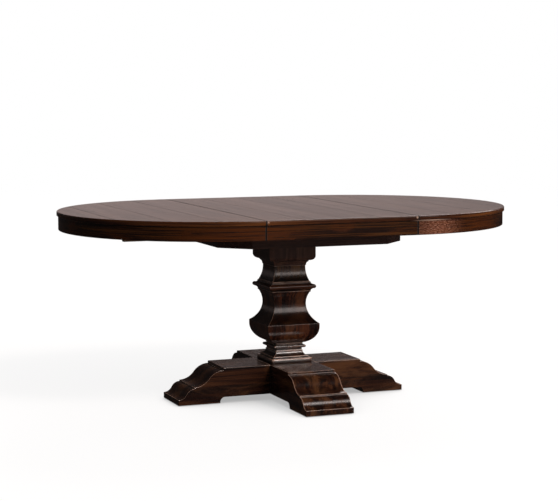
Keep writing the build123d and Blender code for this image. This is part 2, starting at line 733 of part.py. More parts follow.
def pinion():
    """Spur pinion of the equalizer, with a tooth facing each rack."""
    pressure = PRESSURE_ANGLE * RADIAN
    base = PITCH_RADIUS * cos(pressure)
    tip, root = PITCH_RADIUS + GEAR_MODULE, PITCH_RADIUS - TOOTH_ROOT

    def half_angle(radius):
        roll = acos(min(1, base / radius))
        return TOOTH_HALF / PITCH_RADIUS + involute(pressure) - involute(roll)

    flank = [base + (tip - base) * i / FLANK_STEPS for i in range(FLANK_STEPS + 1)]
    rising = [(root, half_angle(base))] + [(radius, half_angle(radius)) for radius in flank]
    outline = []
    for tooth in range(PINION_TEETH):
        centre = pi / 2 + 2 * pi * tooth / PINION_TEETH
        side = [(radius, centre - angle) for radius, angle in rising]
        side += [(radius, centre + angle) for radius, angle in reversed(rising)]
        outline += [(radius * cos(angle), radius * sin(angle)) for radius, angle in side]
    low, high = RAIL_Z + PINION_WASHER_THICKNESS, RAIL_Z + RACK_HEIGHT
    return prism(outline, low, high) - rod(0, 0, low, high, PINION_BOLT_RADIUS + PINION_RUNNING_CLEARANCE)


def pinion_bolt():
    """Shoulder bolt that the pinion turns on, screwed into the plate."""
    shoulder = RAIL_Z + RACK_HEIGHT + PINION_HEAD_GAP
    bolt = rod(0, 0, RAIL_Z, shoulder, PINION_BOLT_RADIUS)
    bolt = bolt + rod(0, 0, shoulder, shoulder + PINION_HEAD_HEIGHT, PINION_HEAD_RADIUS)
    return bolt + rod(0, 0, RAIL_Z - PINION_SHANK_DEPTH, RAIL_Z, PINION_SHANK_RADIUS)


def pinion_washer():
    """Thin washer that the pinion turns on, above the plate."""
    high = RAIL_Z + PINION_WASHER_THICKNESS
    bore = PINION_BOLT_RADIUS + PINION_RUNNING_CLEARANCE
    return rod(0, 0, RAIL_Z, high, PINION_WASHER_RADIUS) - rod(0, 0, RAIL_Z, high, bore)


def leaf_plank_spans():
    """X spans of the leaf's boards, a seam's gap inside the halves."""
    width = LEAF_WIDTH / LEAF_PLANKS
    ends = [-SEAM_X + width * i for i in range(LEAF_PLANKS + 1)]
    ends[0] += SEAM_GAP
    ends[-1] -= SEAM_GAP
    return list(zip(ends, ends[1:]))


def leaf_batten_y():
    """Inner and outer faces of the leaf battens, which sit between the right half's rails."""
    outer = RIGHT_RAIL_Y - RAIL_WIDTH / 2 - LEAF_BATTEN_CLEARANCE
    return outer - LEAF_BATTEN_WIDTH, outer


def leaf_screw_places():
    """A screw through each batten into the middle of every leaf board."""
    middle = sum(leaf_batten_y()) / 2
    return [((low + high) / 2, front * middle) for low, high in leaf_plank_spans() for front in (-1, 1)]


def leaf_screw_holes():
    seat, length = TOP_Z - LEAF_BATTEN_HEIGHT, LEAF_BATTEN_HEIGHT + SCREW_BITE
    return [screw_hole(*place, seat, length) for place in leaf_screw_places()]


def leaf_screws():
    seat, length = TOP_Z - LEAF_BATTEN_HEIGHT, LEAF_BATTEN_HEIGHT + SCREW_BITE
    return [screw(*place, seat, length) for place in leaf_screw_places()]


def leaf_top():
    """Leaf as boards that run across the table, like those of the halves."""
    low, high = leaf_plank_spans()[0][0], leaf_plank_spans()[-1][1]
    slab = swept_along_leaf(top_section(), low, high, 1) + swept_along_leaf(top_section(), low, high, -1)
    planks = []
    for low, high in leaf_plank_spans():
        plank = slab & block((low, high), (-TOP_RADIUS, TOP_RADIUS), (TOP_Z, TABLE_HEIGHT))
        for x in (low, high):
            if abs(x) < SEAM_X - SEAM_GAP:
                plank = plank - edge_wedge(x, PLANK_GROOVE)
        planks.append(plank - seam_cuts() - leaf_screw_holes())
    return planks


def leaf_apron(front):
    low, high = leaf_plank_spans()[0][0], leaf_plank_spans()[-1][1]
    return swept_along_leaf(apron_section(), low, high, front) - seam_cuts()


def leaf_glue_blocks():
    """Glue blocks behind the leaf's aprons, one under each board."""
    reach = GLUE_BLOCK_LENGTH / 2
    places = [((low + high) / 2, front) for low, high in leaf_plank_spans() for front in (-1, 1)]
    return [swept_along_leaf(glue_block_section(), x - reach, x + reach, front) for x, front in places]


def leaf_batten(front):
    """Batten that holds the leaf's boards flat and keeps the leaf centred between the slides."""
    reach = SEAM_X - LEAF_BATTEN_INSET
    faces = sorted(front * y for y in leaf_batten_y())
    return block((-reach, reach), faces, (TOP_Z - LEAF_BATTEN_HEIGHT, TOP_Z)) - leaf_screw_holes()


def half_nodes(side, name):
    """Every piece that slides with one half."""
    nodes = {f"{name}_top_plank_{i + 1}": shape for i, shape in enumerate(half_top(side))}
    nodes |= {f"{name}_apron_{i + 1}": shape for i, shape in enumerate(half_aprons(side))}
    nodes[f"{name}_slide_rail_front"] = moving_rail(side, -1)
    nodes[f"{name}_slide_rail_back"] = moving_rail(side, 1)
    nodes[f"{name}_half_screws"] = half_screws(side)
    nodes[f"{name}_glue_blocks"] = half_glue_blocks(side)
    nodes[f"{name}_rack"] = rack(side)
    nodes[f"{name}_rack_batten"] = rack_batten(side)
    return nodes


def leaf_nodes():
    """Every piece that lifts out with the leaf."""
    nodes = {f"leaf_plank_{i + 1}": shape for i, shape in enumerate(leaf_top())}
    nodes["leaf_apron_front"] = leaf_apron(-1)
    nodes["leaf_apron_back"] = leaf_apron(1)
    nodes["leaf_batten_front"] = leaf_batten(-1)
    nodes["leaf_batten_back"] = leaf_batten(1)
    nodes["leaf_batten_screws"] = leaf_screws()
    nodes["leaf_glue_blocks"] = leaf_glue_blocks()
    return nodes


def pedestal_nodes():
    """Everything that stands still: the base, the pedestal, the plate and what is fixed to it."""
    fixed_screws = [screw(*place, PLATE_Z, FIXED_SCREW_LENGTH) for place in fixed_screw_places()]
    return {
        **base_beams(),
        "foot_glides": foot_glides(),
        **pedestal_blocks(),
        "column_dowels": column_dowels(),
        **tie_rod_set(),
        "mounting_plate": mounting_plate(),
        "plate_lag_screws": plate_lag_screws(),
        "fixed_rail_front": fixed_rail(-1),
        "fixed_rail_back": fixed_rail(1),
        "fixed_rail_screws": fixed_screws,
        "slide_stop_pins": slide_stop_pins(),
        "pinion_bolt": pinion_bolt(),
        "pinion_washer": pinion_washer(),
    }


def write(nodes):
    """One STEP file per node; a list of pieces becomes one group."""
    os.makedirs("parts", exist_ok=True)
    for name, shape in nodes.items():
        group = Compound(children=shape) if isinstance(shape, list) else shape
        export_step(group, f"parts/{name}.step")


write(pedestal_nodes())
write(half_nodes(LEFT, "left"))
write(half_nodes(RIGHT, "right"))
write(leaf_nodes())
write({"equalizer_pinion": pinion()})
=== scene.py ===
"""Looks of the extending pedestal table: dark stained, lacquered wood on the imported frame.

Metres, in the frame of the CAD: +Z is up, +X runs along the slides, the origin is on the floor.
"""
from math import pi, radians

import bpy
from mathutils import Euler, Matrix, Vector


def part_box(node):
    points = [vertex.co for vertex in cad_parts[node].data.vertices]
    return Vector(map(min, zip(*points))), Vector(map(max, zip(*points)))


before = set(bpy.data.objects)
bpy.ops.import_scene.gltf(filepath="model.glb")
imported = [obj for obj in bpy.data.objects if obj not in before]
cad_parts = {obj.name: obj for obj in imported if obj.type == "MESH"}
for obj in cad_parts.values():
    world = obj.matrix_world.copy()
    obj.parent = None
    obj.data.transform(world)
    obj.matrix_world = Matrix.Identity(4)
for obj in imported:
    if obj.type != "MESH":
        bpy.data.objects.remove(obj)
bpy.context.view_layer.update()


def linear(red, green, blue):
    """A colour given in 8-bit sRGB as Blender's linear values."""
    shares = [value / 255 for value in (red, green, blue)]
    return tuple(s / 12.92 if s <= 0.04045 else ((s + 0.055) / 1.055) ** 2.4 for s in shares) + (1.0,)


# Camera at the photograph's viewing angle; angles in radians, focal length in pixels of the image
IMAGE_WIDTH = 558
FOCAL_PIXELS = 1687.7
SENSOR_WIDTH = 36.0
CAMERA_PLACE = (-2.4630, -6.2933, 1.2676)
CAMERA_YAW = 0.3701
CAMERA_PITCH = 0.1005
CAMERA_ROLL = -0.0016

# Floor: its size, what it shows to the camera, with a painted contact shadow near the table, and the light
# it throws back, which is painted stronger along aim
ORIGIN = (0.0, 0.0, 0.0)
FLOOR_RADIUS = 14.0
FLOOR_CORNERS = 96
FLOOR_FADE = 0.35
FLOOR_TONE = 0.22
FLOOR_LIFT = 0.84
CONTACT_REACH = 0.40
CONTACT_SHADE = 0.52
CONTACT_SAMPLES = 16
BOUNCE = dict(aim=(0.85, -0.53, 0.0), low=-0.4, high=0.8, start=0.05, end=0.90)

# World: levels that go from start to end as a direction turns towards aim, its share from low to high
UP = (0.0, 0.0, 1.0)
ROOM_LEVEL = 0.02
SIDE_LEVEL = 0.12
BACKDROP_LEVEL = 0.33
AMBIENT = dict(aim=(0.75, -0.62, 0.24), low=0.2, high=0.95, start=0.12, end=0.9)
AHEAD = dict(aim=(0.36, -0.93, 0.0), low=0.5, high=0.9, start=SIDE_LEVEL, end=0.28)
BEHIND = dict(aim=(0.71, 0.71, 0.0), low=0.45, high=0.88, start=0.0, end=BACKDROP_LEVEL - SIDE_LEVEL)
GLARE = dict(aim=(0.26, 0.966, 0.0), low=0.95, high=0.998, start=0.0, end=0.18)
HORIZON_RISE = (-0.05, 0.03)
HORIZON_FALL = (0.095, 0.13, 1.0, 0.1)
BACKDROP_TINT = (1.0, 0.81, 0.78, 1.0)

# Lights: where each comes from, its strength and how wide it is
LIGHT_TINT = (1.0, 0.89, 0.85)
LIGHTS = {
    "key": dict(origin=(0.42, -0.75, 0.51), strength=1.05, spread=radians(44)),
    "spark": dict(origin=(0.28, -0.71, 0.645), strength=1.05, spread=radians(12)),
    "back": dict(origin=(0.50, 0.66, 0.56), strength=1.0, spread=radians(30)),
}

# Grain: noise drawn out along it, its shift from piece to piece, the boards' tones, pores and relief
STREAKS = dict(width=0.005, length=0.40, detail=6.0, roughness=0.62)
FIGURE = dict(width=0.035, length=0.90, detail=3.0, distortion=0.9)
PORES = dict(width=0.0012, length=0.022, detail=2.0)
PATCHES = dict(width=0.07, length=0.22, detail=4.0, distortion=0.6)
SCUFFS = dict(width=0.0028, length=0.011, detail=4.0, roughness=0.7)
GRIT = dict(width=0.004, length=0.004, detail=2.0)
PIECE_SHIFT = 9.0
BOARD_TONE = 0.03
PORE_SHADE = 0.5
STREAK_RELIEF = 0.5
WOOD_BUMP = {"Strength": 0.10, "Distance": 0.0005}

# Worn arrises with painted highlights, and dark glazing with painted shade in hollows: how wide they lie
# on arrises, beads and joints and in hollows, how full, and how rough
SHAPE_SAMPLES = 8
WORN_AND_HIGHLIT_EDGE = 0.0035
BEAM_EDGE = 0.003
ROUND_EDGE = 0.018
BEAD_EDGE = 0.006
BEAD = 0.008
WORN_AND_HIGHLIT_LEAST = 0.3
# Reach and fullness of dark glazing in hollows, which is also painted shade there
GLAZE_AND_SHADE_REACH = 0.006
DEEP_GLAZE_AND_SHADE_REACH = 0.030
GLAZE_AND_SHADE_FULL = 0.85
HOLLOW_ROUGHNESS = 0.30
JOINT_WIDTH = 0.0036
JOINT_DULL = 0.15
JOINT_ROUGHNESS = 0.7
RUBBED_ROUGHNESS = 0.5
SEAM_ROUGHNESS = 0.9

# Stops of the stain's tones in the noise, then windows of it: where a mark starts and where it is full,
# and its levels there, which are 0 and 1 unless given
STAIN_STOPS = (0.40, 0.50, 0.61)
WARM_WINDOW = (0.46, 0.66)
PORE_WINDOW = (0.40, 0.30)
GLOSS_WINDOW = (0.38, 0.62)
WORN_AND_HIGHLIT_WINDOW = (0.30, 0.60)
GLOW_WINDOW = (0.35, 0.60)
RUBBED_WINDOW = (0.40, 0.62, 0.1, 1.0)
SPECK_WINDOW = (0.60, 0.68)
GRIT_WINDOW = (0.42, 0.52)

# Windows of how far a face looks up: 1 on a level top, 0 on an upright side
FLAT_RISE = (0.55, 0.6)
LEVEL_RISE = (0.93, 0.97)
# Where worn arrises and beads also take a painted highlight, fullest as they face up
ARRIS_RISE = (0.50, 0.72, 0.05, 1.0)
BEAD_RISE = (0.10, 0.35)
# Slopes that face up, where painted shade lies
SLOPE_RISE = (0.12, 0.45)
SLOPE_FALL = (0.97, 0.90)
GROOVE_RISE = (0.10, 0.20)
GROOVE_FALL = (0.97, 0.93)

# Windows of other measures: how far rounding leaves a normal alone, how far a groove's side looks along
# the groove, how open a place is inside or out, and distances from a line
ARRIS_TURN = (0.99, 0.90)
JOINT_TURN = (0.999, 0.985)
GROOVE_TURN = (0.06, 0.02)
BEAD_WINDOW = (0.80, 0.40)
HOLLOW_WINDOW = (0.92, 0.50)
SEAM_LINE = (0.0045, 0.0018)
HIGHLIGHT_LINE = (0.0030, 0.0015)

# Fittings: noise, its windows and the relief of zinc and nylon
ZINC_MOTTLE = dict(scale=260.0, detail=4.0)
ZINC_DULLING = dict(scale=40.0, detail=2.0)
ZINC_WINDOW = (0.35, 0.65)
ZINC_ROUGHNESS = (0.26, 0.44)
ZINC_BUMP = {"Strength": 0.08, "Distance": 0.0003}
NYLON_PEBBLE = dict(scale=1400.0, detail=2.0)
NYLON_WEAR = dict(scale=55.0, detail=3.0)
NYLON_WINDOW = (0.5, 0.7)
NYLON_ROUGHNESS = (0.4, 0.7, 0.45, 0.62)
NYLON_BUMP = {"Strength": 0.15, "Distance": 0.0002}

# Tones of worn wood with painted highlights, of dirty and chipped wood, of dark glazing and painted shade,
# and of the fittings
# Pale wood on arrises and beads: wear, and also a painted highlight
WORN_AND_HIGHLIT_WOOD = linear(220, 178, 154)
SCUFFED_WOOD = linear(142, 82, 54)
# Chips and specks, and the painted highlight along the slab's lower edge
CHIPPED_AND_HIGHLIT_WOOD = linear(188, 156, 136)
# Dark glazing in joints and seams, and painted shade in hollows and on slopes
GLAZE_AND_SHADE = linear(12, 7, 5)
ZINC = linear(150, 152, 154)
ZINC_PALE = linear(206, 207, 208)
NYLON = linear(58, 55, 52)
NYLON_SCUFF = linear(96, 92, 88)

# Tones of each stain: darkest, middle, light and amber
TOP_STAIN = (linear(28, 12, 7), linear(52, 26, 14), linear(80, 46, 25), linear(92, 52, 22))
APRON_STAIN = (linear(13, 5, 3), linear(34, 16, 8), linear(72, 43, 20), linear(74, 35, 9))
PEDESTAL_STAIN = (linear(19, 6, 4), linear(43, 19, 12), linear(78, 42, 26), linear(106, 62, 34))
BEAM_STAIN = (linear(17, 7, 5), linear(37, 18, 12), linear(68, 41, 26), linear(94, 60, 36))
NECK_STAIN = (linear(28, 13, 8), linear(55, 34, 22), linear(88, 62, 40), linear(104, 68, 36))
# Cap and plate: lighter stains, painted light that stands in for the light they lack in the shade under
# the top
CAP_LIT_STAIN = (linear(50, 31, 26), linear(64, 42, 34), linear(76, 53, 43), linear(84, 58, 44))
PLATE_LIT_STAIN = (linear(38, 22, 19), linear(50, 31, 26), linear(60, 40, 33), linear(66, 44, 33))
SLIDE_STAIN = (linear(78, 52, 34), linear(108, 76, 50), linear(134, 98, 66), linear(140, 98, 60))

# Sizes of the top that the grain and the marks of its rim follow
SEAM = abs(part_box("left_top_plank_1")[1].x)
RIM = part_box("leaf_plank_1")[1].y
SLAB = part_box("leaf_plank_1")[0].z

# Marks on the front rim, each a place and its reach: amber glows, rubbed wood, chips, a painted highlight
# along the slab's lower edge
GLOWS = (((-SEAM - 0.10, -RIM, 0.72), 0.42), ((SEAM + 0.32, -0.85 * RIM, 0.750), 0.22))
SCUFF = ((SEAM + 0.09, -RIM, 0.702), 0.15)
CHIPS = (((-SEAM + 0.006, -RIM, 0.756), 0.007), ((SEAM - 0.006, -RIM, 0.756), 0.007))
# Painted highlight along the slab's lower edge, just right of the seam
ARRIS_HIGHLIGHT = ((SEAM + 0.06, -RIM, SLAB), 0.10)

# Blender's names for the kinds of value that a Mix node takes
MIX_KINDS = {"Color": "RGBA", "Vector": "VECTOR"}


def new_material(name):
    """A material with its node tree and its shader."""
    material = bpy.data.materials.new(name)
    material.use_nodes = True
    tree = material.node_tree
    return material, tree, tree.nodes["Principled BSDF"]


def dress(node, material):
    node.data.materials.clear()
    node.data.materials.append(material)


def grey(value):
    return (value, value, value, 1.0)


def plug(tree, socket, value):
    """Links another node's output to a socket, or sets the socket's own value."""
    if isinstance(value, bpy.types.NodeSocket):
        tree.links.new(value, socket)
    else:
        socket.default_value = value


def add(tree, kind, inputs=None, **settings):
    """A node with its settings and inputs."""
    node = tree.nodes.new(kind)
    for name, value in settings.items():
        setattr(node, name, value)
    for name, value in (inputs or {}).items():
        plug(tree, node.inputs[name], value)
    return node


def compute(tree, operation, *values, clamp=False):
    """One step of arithmetic."""
    node = add(tree, "ShaderNodeMath", operation=operation, use_clamp=clamp)
    for socket, value in zip(node.inputs, values):
        plug(tree, socket, value)
    return node.outputs[0]


def both(tree, first, second):
    """A mask that is full where two masks are, as their product."""
    return compute(tree, "MULTIPLY", first, second)


def either(tree, first, *others):
    """The largest of several values, so a mask that is full where any of several is."""
    for other in others:
        first = compute(tree, "MAXIMUM", first, other)
    return first


def apart(tree, first, second):
    """How far two numbers lie apart."""
    return compute(tree, "ABSOLUTE", compute(tree, "SUBTRACT", first, second))


def pick(tree, share, first, second):
    """Two numbers mixed by a share."""
    change = compute(tree, "SUBTRACT", second, first)
    return compute(tree, "MULTIPLY_ADD", change, share, first)


def span(tree, value, low, high, start=0.0, end=1.0):
    """Value carried smoothly from low..high to start..end."""
    inputs = {"Value": value, "From Min": low, "From Max": high, "To Min": start, "To Max": end}
    return add(tree, "ShaderNodeMapRange", inputs, interpolation_type="SMOOTHSTEP").outputs["Result"]


def band(tree, value, rise, fall):
    """A mask that comes up in one window of a value and goes down in another."""
    return both(tree, span(tree, value, *rise), span(tree, value, *fall))


def blend(tree, share, first, second, kind="Color"):
    """Two colours, or two vectors, mixed by a share."""
    node = add(tree, "ShaderNodeMix", data_type=MIX_KINDS[kind])
    sockets = {socket.identifier: socket for socket in node.inputs}
    plug(tree, sockets["Factor_Float"], share)
    plug(tree, sockets["A_" + kind], first)
    plug(tree, sockets["B_" + kind], second)
    return next(socket for socket in node.outputs if socket.identifier == "Result_" + kind)


def ramp(tree, share, stops):
    """Colours along a ramp of (place, colour) stops."""
    node = add(tree, "ShaderNodeValToRGB", {"Fac": share})
    elements = node.color_ramp.elements
    while len(elements) < len(stops):
        elements.new(1.0)
    for element, (place, colour) in zip(elements, stops):
        element.position = place
        element.color = colour
    return node.outputs["Color"]


def split(tree, vector):
    """X, Y and Z of a vector."""
    return add(tree, "ShaderNodeSeparateXYZ", {"Vector": vector}).outputs


def joined(tree, x, y, z):
    return add(tree, "ShaderNodeCombineXYZ", {"X": x, "Y": y, "Z": z}).outputs["Vector"]


def on_vectors(tree, operation, first, second):
    """The outputs of one step of arithmetic on vectors."""
    return add(tree, "ShaderNodeVectorMath", {0: first, 1: second}, operation=operation).outputs


def dot(tree, first, second):
    """Dot product: how far two directions agree, or how far a place lies along a direction."""
    return on_vectors(tree, "DOT_PRODUCT", first, second)["Value"]


def distance(tree, first, second):
    return on_vectors(tree, "DISTANCE", first, second)["Value"]


def shifted(tree, place, shift):
    """A place moved by the same shift along each axis."""
    return on_vectors(tree, "ADD", place, joined(tree, shift, shift, shift))["Vector"]


def towards(tree, vector, aim, low, high, start, end):
    """A level that goes from start to end as the vector's share along aim goes from low to high."""
    return span(tree, dot(tree, vector, aim), low, high, start, end)


def rest_place(tree):
    """The point in the frame of the CAD, at rest."""
    return add(tree, "ShaderNodeTexCoord").outputs["Object"]


def nearby(tree, centre, reach):
    """1 at a place on the object at rest, falling to 0 at its reach."""
    return span(tree, distance(tree, rest_place(tree), centre), reach, 0.0)


def face_normal(tree):
    return add(tree, "ShaderNodeNewGeometry").outputs["True Normal"]


def face_rise(tree):
    """How far a face looks up: 1 on a level top, 0 on an upright side, -1 on an underside."""
    return split(tree, face_normal(tree))["Z"]


def rounded(tree, radius):
    """The normal with the arrises rounded, and how far it still agrees with the face's own."""
    soft = add(tree, "ShaderNodeBevel", {"Radius": radius}, samples=SHAPE_SAMPLES).outputs["Normal"]
    return soft, dot(tree, soft, face_normal(tree))


def openness(tree, reach, samples=SHAPE_SAMPLES, inside=False):
    """How free a place is of other faces within its reach, from 0 to 1; inside looks into the solid."""
    node = add(tree, "ShaderNodeAmbientOcclusion", {"Distance": reach}, samples=samples, inside=inside)
    return node.outputs["AO"]


def noise(tree, place, scale, detail, roughness=0.5, distortion=0.0):
    """Noise from 0 to 1."""
    look = {"Scale": scale, "Detail": detail, "Roughness": roughness, "Distortion": distortion}
    return add(tree, "ShaderNodeTexNoise", {"Vector": place, **look}).outputs["Fac"]


def streaks(tree, place, width, length, detail, roughness=0.55, distortion=0.0):
    """Noise drawn out along the grain."""
    drawn = on_vectors(tree, "MULTIPLY", place, (1 / length, 1 / width, 1 / width))["Vector"]
    return noise(tree, drawn, 1.0, detail, roughness, distortion)


def grain_x(tree, shift):
    """Places with the length of the grain first, for a piece whose grain runs along X."""
    x, y, z = split(tree, rest_place(tree))
    return shifted(tree, joined(tree, x, y, z), shift)


def grain_y(tree, shift):
    x, y, z = split(tree, rest_place(tree))
    return shifted(tree, joined(tree, y, x, z), shift)


def grain_z(tree, shift):
    x, y, z = split(tree, rest_place(tree))
    return shifted(tree, joined(tree, z, x, y), shift)


def grain_level(tree, shift):
    """Grain that runs level on all four sides of a square block."""
    x, y, z = split(tree, rest_place(tree))
    return shifted(tree, joined(tree, compute(tree, "ADD", x, y), z, 0.0), shift)


def grain_rim(tree, shift):
    """Grain that follows the rim, along the leaf and round both ends, and runs on with no shift."""
    x, y, z = split(tree, rest_place(tree))
    reach = compute(tree, "ABSOLUTE", x)
    past_seam = compute(tree, "MAXIMUM", compute(tree, "SUBTRACT", reach, SEAM), 0.0)
    turn = compute(tree, "ARCTAN2", past_seam, compute(tree, "ABSOLUTE", y))
    straight = compute(tree, "MINIMUM", reach, SEAM)
    length = compute(tree, "ADD", straight, compute(tree, "MULTIPLY", turn, RIM))
    return joined(tree, compute(tree, "MULTIPLY", length, compute(tree, "SIGN", x)), z, 0.0)


def grain_board(tree, shift):
    """Boards with their grain across the table; the rim shows grain that runs along it."""
    flat = span(tree, compute(tree, "ABSOLUTE", face_rise(tree)), *FLAT_RISE)
    return blend(tree, flat, grain_rim(tree, shift), grain_y(tree, shift), kind="Vector")


def arrises(tree, radius):
    """The normal with rounded arrises, and a mask of arrises and beads, fullest where they face up, for
    worn wood that is also a painted highlight.
    """
    soft, agreement = rounded(tree, radius)
    rise = split(tree, soft)["Z"]
    thickness = openness(tree, BEAD, inside=True)
    edges = both(tree, span(tree, agreement, *ARRIS_TURN), span(tree, rise, *ARRIS_RISE))
    beads = both(tree, span(tree, thickness, *BEAD_WINDOW), span(tree, rise, *BEAD_RISE))
    return soft, either(tree, edges, beads)


def board_joints(tree, colour, rough):
    """Colour and roughness with a dark line at each joint: its groove, and the level faces beside it."""
    _, agreement = rounded(tree, JOINT_WIDTH)
    _, sideways, rise = split(tree, face_normal(tree))
    level = span(tree, compute(tree, "ABSOLUTE", rise), *LEVEL_RISE)
    beside = both(tree, span(tree, agreement, *JOINT_TURN), level)
    across = span(tree, compute(tree, "ABSOLUTE", sideways), *GROOVE_TURN)
    groove = both(tree, band(tree, rise, GROOVE_RISE, GROOVE_FALL), across)
    colour = blend(tree, either(tree, beside, groove), colour, GLAZE_AND_SHADE)
    dull = either(tree, compute(tree, "MULTIPLY", beside, JOINT_DULL), groove)
    return colour, pick(tree, dull, rough, JOINT_ROUGHNESS)


def rim_glow(tree, streak):
    """A mask of the amber glows on the front rim, fullest on its light streaks."""
    around = either(tree, *(nearby(tree, *glow) for glow in GLOWS))
    return both(tree, around, span(tree, streak, *GLOW_WINDOW))


def rim_marks(tree, place):
    """Masks of the seams' dark lines, rubbed wood on the right half's apron, pale specks and chips, and a
    painted highlight along the slab's lower edge.

    place is where a point lies in the grain.
    """
    x, _, z = split(tree, rest_place(tree))
    line = span(tree, apart(tree, compute(tree, "ABSOLUTE", x), SEAM), *SEAM_LINE)
    on_apron = both(tree, compute(tree, "GREATER_THAN", x, SEAM), compute(tree, "LESS_THAN", z, SLAB))
    around = both(tree, nearby(tree, *SCUFF), on_apron)
    speckle = streaks(tree, place, **SCUFFS)
    rubbed = both(tree, around, span(tree, speckle, *RUBBED_WINDOW))
    specks = both(tree, around, span(tree, speckle, *SPECK_WINDOW))
    # Painted highlight: a pale line along the slab's lower edge near the right seam
    arris_highlight = both(tree, span(tree, apart(tree, z, SLAB), *HIGHLIGHT_LINE), nearby(tree, *ARRIS_HIGHLIGHT))
    corners = either(tree, *(nearby(tree, *chip) for chip in CHIPS))
    chips = both(tree, corners, span(tree, streaks(tree, place, **GRIT), *GRIT_WINDOW))
    return line, rubbed, either(tree, chips, arris_highlight, specks)


def rim_wear_and_highlight(tree, place, colour, rough):
    """Colour and roughness with the marks of the rim and its painted highlight."""
    line, rubbed, bare_and_highlight = rim_marks(tree, place)
    colour = blend(tree, rubbed, colour, SCUFFED_WOOD)
    colour = blend(tree, line, colour, GLAZE_AND_SHADE)
    colour = blend(tree, bare_and_highlight, colour, CHIPPED_AND_HIGHLIT_WOOD)
    rough = pick(tree, rubbed, rough, RUBBED_ROUGHNESS)
    return colour, pick(tree, line, rough, SEAM_ROUGHNESS)


def stained(tree, stain, tone, warmth, pores):
    """The stain's tones along the grain, amber where it is warm and darkest in the pores."""
    darkest, middle, light, amber = stain
    colour = ramp(tree, tone, list(zip(STAIN_STOPS, (darkest, middle, light))))
    colour = blend(tree, warmth, colour, amber)
    return blend(tree, compute(tree, "MULTIPLY", pores, PORE_SHADE), colour, darkest)


def wood(name, grain, stain, gloss=(0.14, 0.24), shine=0.5, amber=0.7, wear_and_highlight=0.0, edge=WORN_AND_HIGHLIT_EDGE,
         glaze_and_shade=GLAZE_AND_SHADE_REACH, streaky=0.6, slope_shade=0.0, joints=False, rim=False):
    """Stained wood under lacquer; the function grain lays out its grain, and stain gives its tones.

    gloss is the roughness of its light and its dark grain, shine the lacquer's specular level, edge the
    radius of its arrises, and glaze_and_shade the reach of dark glazing and painted shade in hollows.
    amber, wear_and_highlight, streaky and slope_shade are shares: of warm patches, worn arrises that are
    also a painted highlight, streaks in the figure, and painted shade on slopes that face up. joints and
    rim add the marks of boards that meet and of the top's rim, with a painted highlight along the slab's
    lower edge.
    """
    material, tree, shader = new_material(name)
    chance = add(tree, "ShaderNodeObjectInfo").outputs["Random"]
    place = grain(tree, compute(tree, "MULTIPLY", chance, PIECE_SHIFT))
    streak = streaks(tree, place, **STREAKS)
    figure = streaks(tree, place, **FIGURE)
    patch = streaks(tree, place, **PATCHES)
    pores = span(tree, streaks(tree, place, **PORES), *PORE_WINDOW)

    tone = pick(tree, streaky, figure, streak)
    if joints:
        board_tone = span(tree, chance, 0.0, 1.0, -BOARD_TONE, BOARD_TONE)
        tone = compute(tree, "ADD", tone, compute(tree, "MULTIPLY", board_tone, face_rise(tree)))
    warmth = compute(tree, "MULTIPLY", span(tree, patch, *WARM_WINDOW), amber)
    if rim:
        warmth = either(tree, warmth, rim_glow(tree, streak))
    colour = stained(tree, stain, tone, warmth, pores)

    # Dark glazing in hollows that is also painted shade: darker where other faces lie close
    hollow_glaze_and_shade = compute(tree, "MULTIPLY", span(tree, openness(tree, glaze_and_shade), *HOLLOW_WINDOW), GLAZE_AND_SHADE_FULL)
    colour = blend(tree, hollow_glaze_and_shade, colour, GLAZE_AND_SHADE)
    # Painted shade: faces that slope up are darkened, as if shaded by the top above them
    if slope_shade:
        shaded_slopes = band(tree, face_rise(tree), SLOPE_RISE, SLOPE_FALL)
        colour = blend(tree, compute(tree, "MULTIPLY", shaded_slopes, slope_shade), colour, GLAZE_AND_SHADE)
    smoothest, roughest = gloss
    rough = pick(tree, hollow_glaze_and_shade, span(tree, tone, *GLOSS_WINDOW, roughest, smoothest), HOLLOW_ROUGHNESS)

    if joints:
        colour, rough = board_joints(tree, colour, rough)
    if rim:
        colour, rough = rim_wear_and_highlight(tree, place, colour, rough)
    height = compute(tree, "SUBTRACT", compute(tree, "MULTIPLY", streak, STREAK_RELIEF), pores)
    bump = add(tree, "ShaderNodeBump", {"Height": height, **WOOD_BUMP})
    # Pale wood on arrises and beads, fullest where they face up: wear and a painted highlight
    if wear_and_highlight:
        soft, proud = arrises(tree, edge)
        bare_and_highlight = both(tree, proud, span(tree, patch, *WORN_AND_HIGHLIT_WINDOW, WORN_AND_HIGHLIT_LEAST * wear_and_highlight, wear_and_highlight))
        colour = blend(tree, bare_and_highlight, colour, WORN_AND_HIGHLIT_WOOD)
        plug(tree, bump.inputs["Normal"], soft)
    shader.inputs["Specular IOR Level"].default_value = shine
    plug(tree, shader.inputs["Base Color"], colour)
    plug(tree, shader.inputs["Roughness"], rough)
    plug(tree, shader.inputs["Normal"], bump.outputs["Normal"])
    return material


def zinc_steel():
    """Zinc plated steel with a faint mottle and duller patches."""
    material, tree, shader = new_material("zinc_steel")
    place = rest_place(tree)
    mottle = noise(tree, place, **ZINC_MOTTLE)
    dulling = noise(tree, place, **ZINC_DULLING)
    colour = blend(tree, span(tree, mottle, *ZINC_WINDOW), ZINC, ZINC_PALE)
    bump = add(tree, "ShaderNodeBump", {"Height": mottle, **ZINC_BUMP})
    shader.inputs["Metallic"].default_value = 1.0
    plug(tree, shader.inputs["Base Color"], colour)
    plug(tree, shader.inputs["Roughness"], span(tree, dulling, *ZINC_WINDOW, *ZINC_ROUGHNESS))
    plug(tree, shader.inputs["Normal"], bump.outputs["Normal"])
    return material


